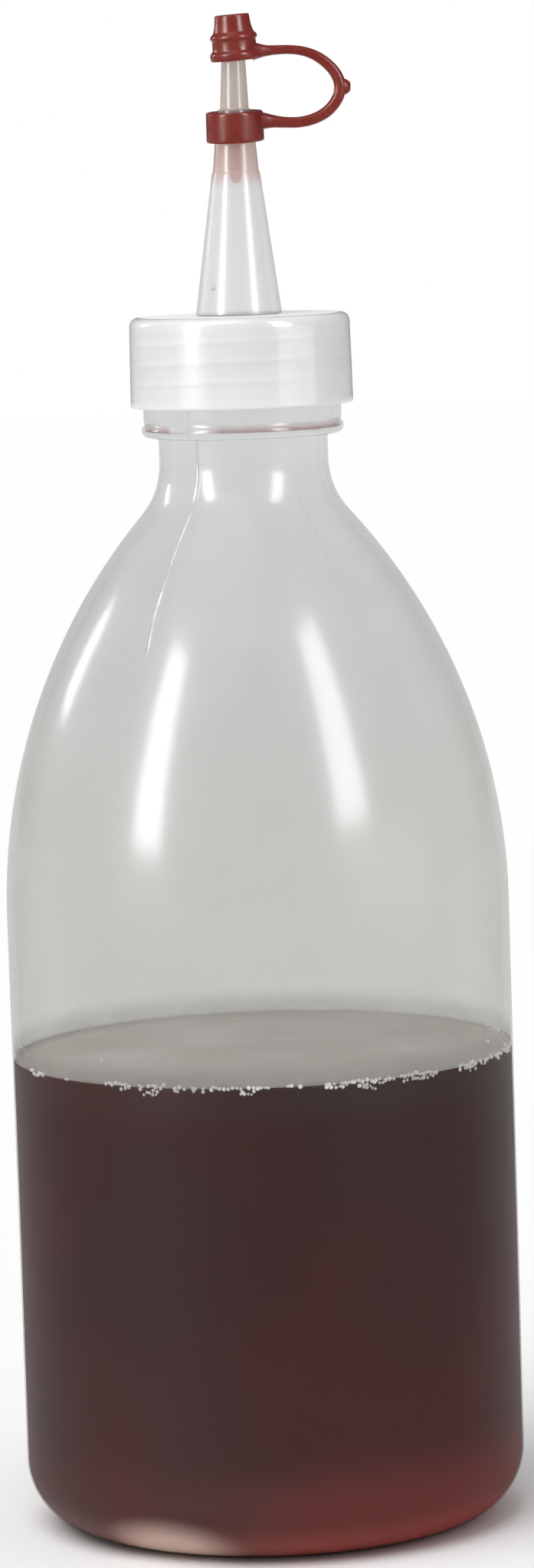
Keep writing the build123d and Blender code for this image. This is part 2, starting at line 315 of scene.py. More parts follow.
# ---- materials ----
class Nodes:
    """A short way to write a material's node tree."""

    def __init__(self, name):
        self.material = bpy.data.materials.new(name)
        self.material.use_nodes = True
        self.tree = self.material.node_tree
        self.tree.nodes.clear()
        self.output = self.tree.nodes.new("ShaderNodeOutputMaterial")

    def add(self, kind, inputs=None, **settings):
        node = self.tree.nodes.new("ShaderNode" + kind)
        for key, value in settings.items():
            setattr(node, key, value)
        for key, value in (inputs or {}).items():
            self.put(node.inputs[key], value)
        return node

    def put(self, socket, value):
        if hasattr(value, "is_output"):
            self.tree.links.new(value, socket)
        elif hasattr(value, "outputs"):
            self.tree.links.new(value.outputs[0], socket)
        else:
            socket.default_value = value

    def math(self, operation, *values):
        node = self.add("Math", operation=operation)
        for socket, value in zip(node.inputs, values):
            self.put(socket, value)
        return node.outputs[0]

    def times(self, a, b):
        return self.math("MULTIPLY", a, b)

    def place(self):
        """The position in the object's frame, in metres."""
        return self.add("TexCoord").outputs["Object"]

    def height(self):
        return self.add("SeparateXYZ", {"Vector": self.place()}).outputs["Z"]

    def noise(self, scale, detail=3, roughness=0.5, vector=None):
        node = self.add("TexNoise", {"Scale": scale, "Detail": detail, "Roughness": roughness})
        self.put(node.inputs["Vector"], vector or self.place())
        return node.outputs["Fac"]

    def ramp(self, factor, stops):
        """An eased colour ramp. A stop's colour is three numbers, or one for a grey."""
        node = self.add("ValToRGB", {"Fac": factor})
        ramp = node.color_ramp
        ramp.interpolation = "EASE"
        while len(ramp.elements) < len(stops):
            ramp.elements.new(0.5)
        for element, (position, colour) in zip(ramp.elements, stops):
            element.position = position
            element.color = (*colour, 1) if isinstance(colour, tuple) else grey(colour)
        return node.outputs["Color"]

    def mix(self, factor, a, b, blend="MIX"):
        node = self.add("Mix", data_type="RGBA", blend_type=blend)
        self.put(node.inputs["Factor"], factor)
        self.put(node.inputs["A"], (*a, 1) if isinstance(a, tuple) else a)
        self.put(node.inputs["B"], (*b, 1) if isinstance(b, tuple) else b)
        return node.outputs["Result"]

    def tinted(self, a, b):
        return self.mix(1.0, a, b, "MULTIPLY")

    def span(self, value, start, end, **settings):
        """0 where the value is at or before the start, 1 at or past the end."""
        node = self.add("MapRange", {"Value": value, "From Min": start, "From Max": end}, **settings)
        return node.outputs[0]

    def bump(self, height, strength, distance, normal=None):
        node = self.add("Bump", {"Strength": strength, "Distance": distance, "Height": height})
        if normal is not None:
            self.put(node.inputs["Normal"], normal)
        return node.outputs["Normal"]

    def principled(self, colour, roughness, specular, more=None):
        inputs = {"Base Color": colour, "Roughness": roughness, "Specular IOR Level": specular}
        return self.add("BsdfPrincipled", {**inputs, **(more or {})})

    def shade(self, first, second=None, factor=None):
        """Sets the surface, a mix of two shaders if a second one is given, and returns the material."""
        surface = self.add("MixShader", {0: factor, 1: first, 2: second}) if second else first
        self.put(self.output.inputs["Surface"], surface)
        return self.material


def grey(value):
    return (value, value, value, 1)


def translucent_wall(name, tints, heights, solid, milk, coat, coat_roughness, roughness=0.34, seamed=False):
    """Thin natural polyethylene: see-through, tinted by height, with a milky scatter and a soft gloss.

    The gloss and scatter belong to the side that faces out, so the far wall seen through the near one is
    clear. Solid is the share of the surface that scatters, which falls off towards the silhouette.
    """
    n = Nodes(name)
    height = n.height()
    span = n.span(height, heights[0] * MM, heights[1] * MM)
    cloud = n.ramp(n.noise(50, 3, 0.55), [(0.35, 0.985), (0.65, 1.0)])
    tint = n.tinted(n.ramp(span, tints), cloud)
    rim = n.add("LayerWeight", {"Blend": 0.5}).outputs["Facing"]
    slanted = n.ramp(rim, [(0.4, 1.0), (0.8, (0.88, 0.88, 0.875))])
    through = n.add("BsdfTransparent", {"Color": n.tinted(tint, slanted)})
    ripple = n.bump(n.noise(24, 2, 0.4), 0.3, 0.001)
    cloudy = n.mix(n.noise(60, 3), milk, tuple(c * 0.9 for c in milk))
    colour = n.tinted(cloudy, tint)
    line = parting_mask(n, height) if seamed else 0.0
    gloss = {"Normal": ripple, "IOR": 1.35, "Coat Weight": coat, "Coat Roughness": coat_roughness}
    gloss |= {"Coat IOR": 1.42, "Coat Normal": ripple}
    uneven = n.ramp(n.noise(90, 3), [(0.3, roughness), (0.7, roughness * 1.25)])
    body = n.principled(n.mix(line, colour, (0.9, 0.9, 0.9)), uneven, 0.28, gloss)
    thinner = n.math("MULTIPLY_ADD", n.math("POWER", rim, 2.5), -0.72, 1.0)
    share = n.times(thinner, solid)
    if seamed:
        share = n.math("MULTIPLY_ADD", line, 0.9, share)
    front = n.math("SUBTRACT", 1.0, n.add("NewGeometry").outputs["Backfacing"])
    return n.shade(through, body, n.times(share, front))


def parting_mask(n, height):
    """1 along the parting line on the shoulder and neck, 0 elsewhere."""
    across = (-math.sin(SEAM_AZIMUTH), math.cos(SEAM_AZIMUTH), 0.0)
    side = n.add("VectorMath", {0: n.place(), 1: across}, operation="DOT_PRODUCT").outputs["Value"]
    near = n.span(n.math("ABSOLUTE", side), 0.26 * MM, 0.08 * MM)
    up = n.span(height, SEAM_START * MM, (SEAM_START + SEAM_FADE) * MM)
    below_bead = {"Value": height, "From Min": 166 * MM, "From Max": 160 * MM, "To Min": 0.12}
    faint = n.add("MapRange", below_bead).outputs[0]
    up = n.times(up, faint)
    worn = n.ramp(n.noise(220, 3), [(0.35, 0.45), (0.6, 1.0)])
    return n.times(n.times(near, up), worn)


def clear_inside(name, tint):
    """The wall's inside: only its tint shows, because it is never seen against a light."""
    n = Nodes(name)
    cloud = n.ramp(n.noise(35, 3, 0.5), [(0.35, tuple(c * 0.985 for c in tint)), (0.65, tint)])
    through = n.add("BsdfTransparent", {"Color": cloud})
    haze = n.principled((0.3, 0.3, 0.29, 1), 0.6, 0.1)
    return n.shade(through, haze, 0.012)


def dark_liquid():
    """The liquid seen through its side: nearly black red-brown, with painted light: redder and lighter
    towards the base, the right side and the left and right edges, and a pale glow low on the front left.
    """
    n = Nodes("liquid_red_brown")
    place = n.place()
    split = n.add("SeparateXYZ", {"Vector": place})
    height = n.span(split.outputs["Z"], 0.0, LIQUID_LEVEL * MM)
    # Painted light: the colour runs from brown on the left side to redder on the right side.
    side = n.span(split.outputs["X"], -0.038, 0.03)
    # Both ramps paint light through the base: lighter and redder towards the bottom.
    brown = [
        (0.0, (0.30, 0.125, 0.110)),
        (0.10, (0.12, 0.042, 0.039)),
        (0.25, (0.080, 0.028, 0.027)),
        (0.6, (0.067, 0.021, 0.020)),
        (0.9, (0.056, 0.017, 0.016)),
        (0.97, (0.062, 0.028, 0.027)),
    ]
    red = [
        (0.0, (0.50, 0.105, 0.088)),
        (0.10, (0.20, 0.040, 0.035)),
        (0.25, (0.082, 0.016, 0.014)),
        (0.6, (0.068, 0.012, 0.011)),
        (0.9, (0.060, 0.014, 0.013)),
        (0.97, (0.062, 0.026, 0.025)),
    ]
    depth = n.mix(n.ramp(side, [(0.1, 0), (0.9, 1)]), n.ramp(height, brown), n.ramp(height, red))
    drift = n.ramp(n.noise(26, 2, 0.4, place), [(0.4, (0.92, 0.98, 0.99)), (0.6, (1.16, 0.90, 0.88))])
    colour = n.tinted(depth, drift)
    # Painted light: redder towards the left and right edges, where the light's path through the liquid is
    # shortest.
    painted_edge_share = n.math("POWER", n.math("ABSOLUTE", n.math("DIVIDE", split.outputs["X"], BODY_RADIUS * MM)), 3.0)
    painted_edge_red = n.tinted(colour, (0.95, 0.35, 0.33))
    colour = n.mix(n.times(painted_edge_share, 0.75), colour, painted_edge_red)
    # Painted light: a pale glow low on the front left, where light comes through the base.
    away = n.add("VectorMath", {0: place, 1: PAINTED_GLOW_CENTRE}, operation="SUBTRACT")
    near = n.add("VectorMath", {0: away, 1: (1.0, 1.0, 1.9)}, operation="MULTIPLY")
    far = n.add("VectorMath", {0: near}, operation="LENGTH").outputs["Value"]
    painted_glow = n.ramp(n.math("DIVIDE", far, PAINTED_GLOW_REACH), [(0.25, 1.0), (1.0, 0)])
    return n.shade(n.principled(n.mix(painted_glow, colour, (1.0, 0.70, 0.62)), 0.5, 0.05))


def liquid_surface():
    """The liquid's free surface, dull and without gloss: its pale tone is a painted reflection."""
    n = Nodes("liquid_surface")
    # Painted reflection: the surface's pale colour, with a little random variation.
    film = n.ramp(n.noise(60, 3, 0.5), [(0.35, (0.60, 0.562, 0.530)), (0.7, (0.665, 0.635, 0.607))])
    ripple = n.bump(n.noise(35, 2, 0.4), 0.1, 0.0005)
    return n.shade(n.principled(film, 0.3, 0.0, {"Normal": ripple}))


def wet_film():
    """What the liquid leaves on the wall just above it, fading upwards."""
    n = Nodes("wet_film")
    height = n.height()
    span = n.span(height, FILM_LOW * MM, FILM_HIGH * MM)
    fade = n.ramp(span, [(0.0, 0.30), (0.25, 0.16), (1.0, 0.0)])
    streaks = n.ramp(n.noise(240, 3), [(0.3, 0.8), (0.7, 1.0)])
    film = n.principled((0.20, 0.155, 0.14, 1), 0.4, 0.1)
    clear = n.add("BsdfTransparent", {"Color": grey(1)})
    return n.shade(clear, film, n.times(fade, streaks))


def bubble_film():
    """Froth: clear in the middle of a bubble, with a painted white reflection towards its rim."""
    n = Nodes("bubble_film")
    rim = n.add("LayerWeight", {"Blend": 0.5}).outputs["Facing"]
    # Painted reflection: the white share grows towards each bubble's rim.
    share = n.ramp(rim, [(0.1, 0.7), (0.5, 1.0)])
    tone = n.ramp(n.noise(900, 2), [(0.3, (0.93, 0.90, 0.88)), (0.7, (1.0, 0.99, 0.98))])
    clear = n.add("BsdfTransparent", {"Color": (0.95, 0.93, 0.92, 1)})
    return n.shade(clear, n.principled(tone, 0.2, 0.5), share)


def red_residue(name, tint, tone, share):
    """A thin layer of the liquid, pink where it thins out."""
    n = Nodes(name)
    cloud = n.noise(160, 3, 0.6)
    colour = n.ramp(cloud, [(0.3, tone), (0.7, tuple(min(1, c * 1.35) for c in tone))])
    film = n.principled(colour, 0.35, 0.2)
    clear = n.add("BsdfTransparent", {"Color": (*tint, 1)})
    return n.shade(clear, film, n.ramp(cloud, [(0.3, share), (0.7, share * 0.7)]))


def ledge_residue():
    """The liquid caught behind the bead: a dark line that thins out to pink above and at both ends."""
    n = Nodes("residue_pink")
    split = n.add("SeparateXYZ", {"Vector": n.place()})
    azimuth = n.math("ARCTAN2", split.outputs["Y"], split.outputs["X"])
    rise = n.math("MULTIPLY_ADD", n.noise(130, 3, 0.55), 0.9 * MM, split.outputs["Z"])
    span = n.span(rise, (BEAD_BOTTOM + 1.2) * MM, (BEAD_BOTTOM + 2.9) * MM)
    thick = n.ramp(span, [(0.0, 0.85), (0.3, 0.55), (0.62, 0.25), (1.0, 0.0)])
    banks = 0.0
    for middle, reach in ((-0.9, 1.15), (-2.82, 0.46)):
        away = n.math("ABSOLUTE", n.math("SUBTRACT", azimuth, middle))
        bank = n.span(away, reach, reach * 0.72, interpolation_type="SMOOTHSTEP")
        banks = n.math("ADD", bank, banks)
    share = n.times(n.times(thick, banks), 0.7)
    film = n.principled(n.mix(thick, (0.60, 0.25, 0.21), (0.40, 0.12, 0.095)), 0.4, 0.1)
    return n.shade(n.add("BsdfTransparent", {"Color": grey(1)}), film, share)


def milky_cap(name, coat):
    """Milky moulded polypropylene, a little whiter where the inside thread makes its wall thicker."""
    n = Nodes(name)
    place = n.place()
    split = n.add("SeparateXYZ", {"Vector": place})
    azimuth = n.math("ARCTAN2", split.outputs["Y"], split.outputs["X"])
    along = n.math("DIVIDE", split.outputs["Z"], PITCH * MM)
    phase = n.math("MULTIPLY_ADD", along, TURN, n.times(azimuth, -1.0))
    wander = n.math("MULTIPLY_ADD", n.noise(70, 2), 1.2, phase)
    wave = n.math("POWER", n.math("MULTIPLY_ADD", n.math("SINE", wander), 0.5, 0.5), 5.0)
    in_thread = n.span(split.outputs["Z"], (CAP_TOP - 2.0) * MM, (CAP_TOP - 3.2) * MM)
    above_mouth = n.span(split.outputs["Z"], (CAP_BOTTOM + 1.6) * MM, (CAP_BOTTOM + 2.6) * MM)
    stripes = n.times(wave, n.times(in_thread, above_mouth))
    breaks = n.ramp(n.noise(75, 3), [(0.35, 0.25), (0.55, 1.0)])
    colour = n.mix(n.times(stripes, breaks), (0.965, 0.967, 0.96), (1.0, 1.0, 1.0))
    cloudy = n.tinted(colour, n.ramp(n.noise(150, 4), [(0.3, 0.965), (0.7, 1.0)]))
    ridges = n.bump(stripes, 0.2, 0.0003, n.bump(n.noise(110, 2), 0.12, 0.0002))
    grain = n.bump(n.noise(1200, 2), 0.04, 0.00004, ridges)
    gloss = {"Normal": grain, "Coat Weight": coat, "Coat Roughness": 0.12, "Coat IOR": 1.52}
    body = n.principled(cloudy, 0.4, 0.07 * coat, gloss)
    clear = n.add("BsdfTransparent", {"Color": (0.95, 0.95, 0.94, 1)})
    return n.shade(clear, body, 0.78)


def red_plastic():
    """Brick-red flexible polyethylene with a faint flow mottle, paler on its most pointed convex edges."""
    n = Nodes("red_polyethylene")
    flow = n.noise(260, 4, 0.6)
    colour = n.ramp(flow, [(0.3, (0.185, 0.021, 0.014)), (0.7, (0.225, 0.029, 0.019))])
    # Paler colour on the most pointed convex edges, by the mesh's pointiness.
    edges = n.ramp(n.add("NewGeometry").outputs["Pointiness"], [(0.5, 0), (0.62, 0.25)])
    paler_edge_colour = n.mix(edges, colour, (0.33, 0.075, 0.058))
    grain = n.bump(n.noise(2000, 3), 0.14, 0.00006, n.bump(n.noise(380, 2), 0.15, 0.0002))
    gloss = n.ramp(n.noise(500, 3), [(0.3, 0.24), (0.7, 0.36)])
    return n.shade(n.principled(paler_edge_colour, gloss, 0.14, {"Normal": grain}))


# ---- bottle body ----
FLARE_CENTRE_R = NECK_RADIUS + NECK_FLARE
SHOULDER_CENTRE_R = BODY_RADIUS - SHOULDER_RADIUS
SHOULDER_TURN = math.degrees(
    math.acos((FLARE_CENTRE_R - SHOULDER_CENTRE_R) / (SHOULDER_RADIUS + NECK_FLARE))
)
FLARE_Z = SHOULDER_START + (SHOULDER_RADIUS + NECK_FLARE) * math.sin(math.radians(SHOULDER_TURN))


def skin(inset, floor, wall_top=SHOULDER_START):
    """The profile from the base's middle to the top of the straight wall, an inset inside the outer one."""
    fillet = BASE_FILLET - inset
    edge = BODY_RADIUS - BASE_FILLET
    dome = [(FOOT_INSIDE * t / 12, floor + PUSH_UP * (1 - (t / 12) ** 2)) for t in range(13)]
    foot = run((FOOT_INSIDE, floor), (edge, floor), 3)
    corner = arc(edge, floor + fillet, fillet, -90, 0, 16)
    side = run((edge + fillet, floor + fillet), (edge + fillet, wall_top), 26)
    return dome + foot + corner + side


def shoulder(inset):
    """The profile's shoulder and the hollow curve into the neck."""
    dome = arc(SHOULDER_CENTRE_R, SHOULDER_START, SHOULDER_RADIUS - inset, 0, SHOULDER_TURN, 40)
    hollow = arc(FLARE_CENTRE_R, FLARE_Z, NECK_FLARE + inset, 180 + SHOULDER_TURN, 180, 14)
    return dome + hollow


def wavy(r, z, a):
    """Blow-moulded unevenness: up to a tenth of a millimetre, on the body only."""
    share = min(1, max(0, (150 - z) / 40)) * min(1, z / 12)
    waves = ((0.05, 2 * a + 0.4), (0.03, 3 * a + z * 0.05), (0.02, 5 * a - z * 0.09))
    swell = sum(size * math.sin(phase) for size, phase in waves)
    return r - share * (0.05 - swell) * (1 if r > 20 else 0), z


def wavy_with_seam(r, z, a):
    """The outer skin's unevenness, with the parting line's rib on the shoulder and neck."""
    rr, zz = wavy(r, z, a)
    if SEAM_START < z < BEAD_BOTTOM + 0.3 and r > inner_radius(z) + 0.15:
        off = abs(r * math.sin(a - SEAM_AZIMUTH))
        rib = max(0, 1 - (off / SEAM_HALF_WIDTH) ** 2) ** 1.5
        rr += SEAM_RISE * min(1, (z - SEAM_START) / SEAM_FADE) * rib
    return rr, zz


def seam_angles(count):
    """Evenly spaced angles, with more of them close to the two parting lines."""
    angles = [TURN * k / count for k in range(count)]
    close = (-1.5, -1, -0.7, -0.45, -0.22, 0, 0.22, 0.45, 0.7, 1, 1.5)
    for side in (0, math.pi):
        middle = (SEAM_AZIMUTH + side) % TURN
        angles = [a for a in angles if abs((a - middle + math.pi) % TURN - math.pi) > math.radians(1.75)]
        angles += [(middle + math.radians(d)) % TURN for d in close]
    return sorted(angles)


def bottle_body(material, inside_material):
    """The hollow bottle with its bead, collar and thread."""
    neck = [
        *run((NECK_RADIUS, FLARE_Z), (NECK_RADIUS, BEAD_BOTTOM - 0.5), 3),
        *arc(NECK_RADIUS + 0.5, BEAD_BOTTOM - 0.5, 0.5, 180, 90, 4),
        (BEAD_RADIUS - 0.9, BEAD_BOTTOM),
        *arc(BEAD_RADIUS - 1.05, BEAD_BOTTOM + 1.05, 1.05, -80, 55, 12),
        *run((COLLAR_RADIUS + 0.05, BEAD_TOP - 0.1), (COLLAR_RADIUS, BEAD_TOP + 0.1), 1),
        *run((COLLAR_RADIUS, BEAD_TOP + 0.1), (COLLAR_RADIUS, COLLAR_TOP - 0.4), 4),
        *arc(COLLAR_RADIUS - 0.4, COLLAR_TOP - 0.4, 0.4, 0, 90, 4),
        *arc(THREAD_ROOT + 0.2, COLLAR_TOP + 0.2, 0.2, -90, -180, 3),
        *run((THREAD_ROOT, COLLAR_TOP + 0.2), (THREAD_ROOT, NECK_TOP - 0.5), 8),
        *arc(THREAD_ROOT - 0.5, NECK_TOP - 0.5, 0.5, 0, 90, 4),
        *arc(NECK_BORE + 0.4, NECK_TOP - 0.4, 0.4, 90, 180, 4),
        *run((NECK_BORE, NECK_TOP - 0.4), (NECK_BORE, COLLAR_TOP + 0.8), 6),
        *run((NECK_BORE, COLLAR_TOP + 0.8), (BEAD_GROOVE - 0.3, COLLAR_TOP - 1.2), 4),
        *arc(BEAD_GROOVE - 0.4, COLLAR_TOP - 1.6, 0.4, 40, 0, 3),
        *run((BEAD_GROOVE, COLLAR_TOP - 1.6), (BEAD_GROOVE, BEAD_BOTTOM + 1.3), 3),
        *arc(BEAD_GROOVE - 0.4, BEAD_BOTTOM + 1.3, 0.4, 0, -90, 4),
        *arc(NECK_RADIUS - WALL + 0.3, BEAD_BOTTOM + 0.6, 0.3, 90, 180, 4),
    ]
    outside = skin(0, 0) + shoulder(0) + neck
    inside = skin(WALL, BASE_WALL) + shoulder(WALL)
    shell = lathe("shell", outside + inside[::-1], material, seam_angles(224), False, wavy_with_seam)
    thread = helix_ridge("thread", THREAD_ROOT, THREAD_CREST, THREAD_START, THREAD_TURNED, material)
    shell.data.materials.append(inside_material)
    for face in shell.data.polygons:
        middle = face.center / MM
        if middle.z > BASE_WALL * 0.6 and math.hypot(middle.x, middle.y) < inner_radius(middle.z) + 0.1:
            face.material_index = 1
    body = join("bottle_shell", shell, thread)
    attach(body, "bottle")
    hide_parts("bottle_body")


def inner_radius(z):
    """Just outside the inner skin at a height."""
    if z > FLARE_Z:
        return BEAD_GROOVE if z > BEAD_BOTTOM else NECK_RADIUS - WALL
    if z > SHOULDER_START:
        return skin_radius(z) - WALL * 0.6
    if z > BASE_FILLET:
        return BODY_RADIUS - WALL * 0.6
    drop = BASE_FILLET - z
    return BODY_RADIUS - BASE_FILLET + math.sqrt(max(0, (BASE_FILLET - WALL) ** 2 - drop**2))


def skin_radius(z):
    """The outer skin's radius at a height on the shoulder or the neck."""
    joint_z = SHOULDER_START + SHOULDER_RADIUS * math.sin(math.radians(SHOULDER_TURN))
    if z < SHOULDER_START:
        return BODY_RADIUS
    if z < joint_z:
        return SHOULDER_CENTRE_R + math.sqrt(SHOULDER_RADIUS**2 - (z - SHOULDER_START) ** 2)
    if z < FLARE_Z:
        return FLARE_CENTRE_R - math.sqrt(NECK_FLARE**2 - (FLARE_Z - z) ** 2)
    return NECK_RADIUS


def base_weld(material):
    """The pinch-off weld across the dished base, in the parting plane."""
    out = Vector(polar(1, SEAM_AZIMUTH, 0))
    across = Vector((-out.y, out.x, 0))
    centres, sections = [], []
    half_length = 11.5
    for k in range(41):
        s = -half_length + 2 * half_length * k / 40
        fade = min(1, (half_length - abs(s)) / 2 + 0.05)
        z = PUSH_UP * (1 - (s / FOOT_INSIDE) ** 2)
        drop = 0.55 * fade
        shape = [(-0.45, 0.2), (-0.38, -drop * 0.6), (-0.15, -drop)]
        shape += [(-w, h) for w, h in reversed(shape)]
        sections.append([tuple(out * s + across * w + Vector((0, 0, z + h))) for w, h in shape])
        centres.append(tuple(out * s + Vector((0, 0, z))))
    weld = tube("base_weld", centres, sections, material)
    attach(weld, "bottle")


# ---- contents ----
def liquid(side_material, surface_material):
    """The liquid, with a meniscus that climbs the wall.

    A real wall bends light, so that the contents look as wide as the bottle. This wall doesn't, so the liquid
    is drawn out to where it looks to be.
    """
    profile = skin(LIQUID_INSET, LIQUID_INSET, LIQUID_LEVEL - 0.9)
    rim_radius = BODY_RADIUS - LIQUID_INSET
    top = [(rim_radius, LIQUID_LEVEL - 0.5), (rim_radius - 0.02, LIQUID_LEVEL)]
    steps = [t / 10 for t in range(11)]
    climb = [(rim_radius - 0.15 - 3.2 * t**1.5, LIQUID_LEVEL - 0.95 * (1 - math.exp(-3 * t))) for t in steps]
    flat = run(climb[-1], (0, climb[-1][1]), 16)
    body = lathe("liquid", profile + top + climb + flat, side_material, 224, False, wavy)
    body.data.materials.append(surface_material)
    for face in body.data.polygons:
        out = Vector((face.center.x, face.center.y, 0)).normalized()
        if face.center.z / MM > LIQUID_LEVEL - 1.3 and face.normal.dot(out) < 0.6:
            face.material_index = 1
    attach(body, "bottle")
    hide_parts("liquid_fill")


def film_on_wall(material):
    """The wet band that the liquid leaves on the wall above it, a very thin closed skin."""
    outer, inner = BODY_RADIUS - LIQUID_INSET - 0.05, BODY_RADIUS - LIQUID_INSET - 0.15
    up = run((outer, FILM_LOW), (outer, FILM_HIGH), 6)
    down = run((inner, FILM_HIGH), (inner, FILM_LOW), 6)
    profile = [(outer, FILM_LOW), *up, (inner, FILM_HIGH), *down]
    film = lathe("wet_film_band", profile, material, 160, True, wavy)
    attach(film, "bottle")


def ball(points, faces, centre, radius, rings=7, segments=12):
    """Adds a ball to a mesh's points and faces."""
    start = len(points)
    cx, cy, cz = centre
    points.append((cx, cy, cz - radius))
    for i in range(1, rings):
        fall = math.pi * i / rings
        for s in range(segments):
            x, y = polar(radius * math.sin(fall), TURN * s / segments)
            points.append((cx + x, cy + y, cz - radius * math.cos(fall)))
    points.append((cx, cy, cz + radius))
    last = len(points) - 1
    for s in range(segments):
        t = (s + 1) % segments
        faces.append([start, start + 1 + t, start + 1 + s])
        for i in range(rings - 2):
            a, b = start + 1 + i * segments, start + 1 + (i + 1) * segments
            faces.append([a + s, a + t, b + t, b + s])
        a = start + 1 + (rings - 2) * segments
        faces.append([a + s, a + t, last])


# each bank of froth: first and last azimuth from the front in degrees, rows deep, how full it is
FROTH_BANKS = [
    (-68, -59, 2, 0.6),
    (-51, -49.5, 1, 1.0),
    (-38, -30, 1.5, 0.8),
    (-30, -22.5, 3, 0.85),
    (-22, -8, 2, 0.7),
    (-8, -1, 3, 0.8),
    (-1, 1.5, 1, 0.9),
    (5, 9, 1, 0.7),
    (12.5, 20, 2, 0.85),
    (20, 30, 3.3, 0.85),
    (30, 43, 2, 0.75),
    (48, 63, 2.5, 0.7),
    (64, 84, 2, 0.45),
    (100, 112, 1.5, 0.6),
    (252, 268, 1.5, 0.6),
]


def froth(material):
    """Small bubbles in banks along the waterline, and a few stray ones above it."""
    draw = random.Random(11)
    points, faces = [], []
    wall = BODY_RADIUS - 0.2
    for first, last, rows, chance in FROTH_BANKS:
        for row in range(math.ceil(rows)):
            edge = (last - first) * 0.12 * row
            azimuth = first + draw.uniform(0, 0.6) + edge
            while azimuth < last - edge:
                radius = draw.uniform(0.22, 0.38) * (1 if row < 2 else 0.85)
                taken = chance * (1 if row + 1 <= rows else rows - row)
                if draw.random() < taken:
                    z = LIQUID_LEVEL + 0.1 - row * 0.48 + draw.gauss(0, 0.1)
                    place = polar(wall - radius * 0.55, math.radians(azimuth - 90), z)
                    ball(points, faces, place, radius)
                azimuth += math.degrees(radius * draw.uniform(1.75, 2.3) / wall)
    for azimuth, above, radius in ((-39, 3.6, 0.22), (63, 2.6, 0.3), (75, 0.9, 0.3), (-84, 0.6, 0.3)):
        place = polar(wall - radius * 0.8, math.radians(azimuth - 90), LIQUID_LEVEL + above)
        ball(points, faces, place, radius)
    bubbles = make_object("froth", points, faces, material)
    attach(bubbles, "bottle")


def bead_residue(name, start_deg, end_deg, material):
    """A thin wedge of red liquid on the ledge behind the bead, drawn out as far as the bottle's liquid is."""
    centres, sections = [], []
    ledge = BEAD_BOTTOM + 1.0
    steps = int(abs(end_deg - start_deg) / 2)
    for k in range(steps + 1):
        t = k / steps
        a = math.radians(start_deg + (end_deg - start_deg) * t)
        full = max(0.05, min(1, t * 7, (1 - t) * 7)) ** 0.5
        rise = 1.9 * full
        wall = COLLAR_RADIUS - 0.25
        shape = [(wall - 0.5 * full, ledge), (wall, ledge)]
        shape += [(wall, ledge + rise), (wall - 0.12 * full, ledge + rise)]
        sections.append([polar(r, a, z) for r, z in shape])
        centres.append(polar(wall - 0.1, a, ledge + 0.03))
    film = tube(name, centres, sections, material)
    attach(film, "bottle")
    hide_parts(name.replace("_film", ""))


# ---- dropper spout ----
def spout(material, inside_material, residue_material):
    """Plug, flange, cone, ring seat and dropper tube, with the liquid left in the bore."""
    plug = NECK_BORE - 0.05
    cone_inside = SPOUT_FOOT_RADIUS - 1.25
    corners = [
        (plug - 0.5, PLUG_BOTTOM, 0.3),
        (plug, PLUG_BOTTOM + 1.0),
        (plug, FLANGE_LOW, 0),
        (FLANGE_RADIUS, FLANGE_LOW, 0.25),
        (FLANGE_RADIUS, FLANGE_TOP, 0.25),
        (6.0, FLANGE_TOP, 0.1),
        (6.0, CAP_TOP + 0.05, 0.04),
        (SPOUT_FOOT_RADIUS, CAP_TOP + 0.12, 0.05),
        (STEP_RADIUS + 0.02, STEP_Z - 0.3, 0.15),
        (STEP_RADIUS - 0.17, STEP_Z + 0.1, 0.15),
        (SEAT_RADIUS + 0.45, SEAT_BOTTOM, 0.05),
        (SEAT_RADIUS, SEAT_BOTTOM, 0.05),
        (SEAT_RADIUS, SEAT_TOP, 0.1),
        (TIP_FOOT_RADIUS, SEAT_TOP + 0.3, 0.1),
        (TIP_RADIUS, TIP_TOP - 0.2, 0.1),
        (TIP_RADIUS - 0.2, TIP_TOP, 0.1),
        (0.55, TIP_TOP, 0.05),
        (DRIP_BORE, SEAT_TOP, 0.3),
        (DRIP_BORE, STEP_Z + 0.6, 0.2),
        (STEP_RADIUS - 1.05, STEP_Z - 0.8, 0.5),
        (cone_inside, FLANGE_TOP, 0.3),
        (cone_inside + 0.6, FLANGE_LOW, 0.2),
        (plug - 1.1, FLANGE_LOW, 0.2),
        (plug - 1.1, PLUG_BOTTOM, 0.2),
    ]
    turned = lathe("turned", divided(rounded(corners, 0.1), 1.2)[::-1], material, 112)
    turned.data.materials.append(inside_material)
    for face in turned.data.polygons:
        out = Vector((face.center.x, face.center.y, 0)).normalized()
        if face.normal.dot(out) < 0:
            face.material_index = 1
    slope = (SPOUT_FOOT_RADIUS - STEP_RADIUS) / (STEP_Z - 0.3 - CAP_TOP)
    gate_radius = SPOUT_FOOT_RADIUS - slope * (GATE_Z - CAP_TOP)
    points, faces = [], []
    ball(points, faces, polar(gate_radius, GATE_AZIMUTH, GATE_Z), 0.42, 10, 16)
    gate = make_object("gate", points, faces, material)
    nozzle = join("dropper_spout", turned, gate)
    lean(nozzle)
    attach(nozzle, "spout")
    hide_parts("spout_insert")
    low = STEP_Z - 1.7
    foot = (1.35, STEP_Z + 0.2)
    column = [(0, low), (0.35, low + 0.05), (0.65, low + 0.3), (0.8, low + 0.8), (1.05, STEP_Z - 0.4), foot]
    column += [*run(foot, (1.2, SEAT_TOP - 0.7), 12), (0.7, SEAT_TOP - 0.35), (0, SEAT_TOP - 0.25)]
    drop = lathe("spout_residue_column", column, residue_material, 40, False)
    lean(drop)
    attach(drop, "spout")
    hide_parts("spout_residue")


